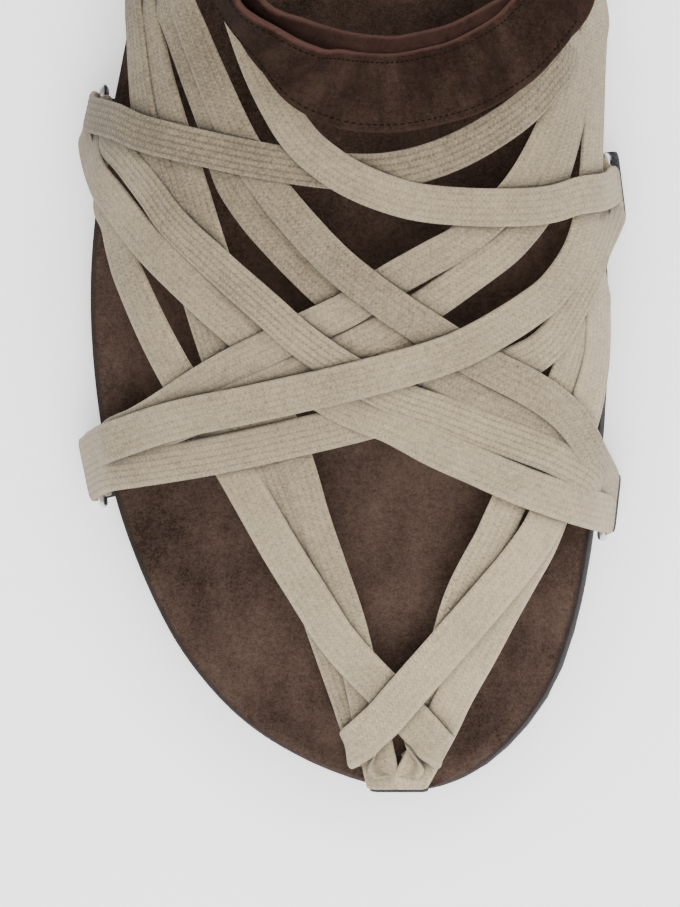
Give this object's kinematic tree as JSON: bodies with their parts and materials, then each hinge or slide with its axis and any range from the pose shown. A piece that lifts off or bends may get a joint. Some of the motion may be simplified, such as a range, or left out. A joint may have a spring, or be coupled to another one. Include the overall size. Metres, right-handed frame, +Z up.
{
  "type": "lace-up sandal",
  "caption": "Open right-foot sandal: flat laces crossed over the foot from side rings to a toe ring, with an instep strap and a contoured suede footbed.",
  "frame": {"origin": "on the floor, under the middle of the whole sandal's box", "axes": "+Z up, toe towards -Y, heel towards +Y, inner (big toe) side towards +X"},
  "size_m": [0.1124, 0.2758, 0.0923],
  "materials": {
    "lace": "flat woven cotton, matt",
    "suede": "napped suede, matt",
    "sole_side": "suede-wrapped sole edge, matt",
    "rubber": "moulded rubber, matt",
    "strap": "napped suede, stitched",
    "ring": "plated wire, polished",
    "webbing": "woven tape, matt"
  },
  "bodies": {
    "root": {"upper_laces": "lace", "footbed": "suede", "midsole": "sole_side", "outsole": "rubber", "strap_outer": "strap", "strap_inner": "strap", "ring_outer_mid": "ring", "tab_outer_mid": "webbing", "ring_outer_front": "ring", "tab_outer_front": "webbing", "ring_outer_rear": "ring", "tab_outer_rear": "webbing", "ring_inner_mid": "ring", "tab_inner_mid": "webbing", "ring_inner_front": "ring", "tab_inner_front": "webbing", "ring_inner_rear": "ring", "tab_inner_rear": "webbing", "ring_toe": "ring", "tab_toe": "webbing"}
  },
  "joints": []
}
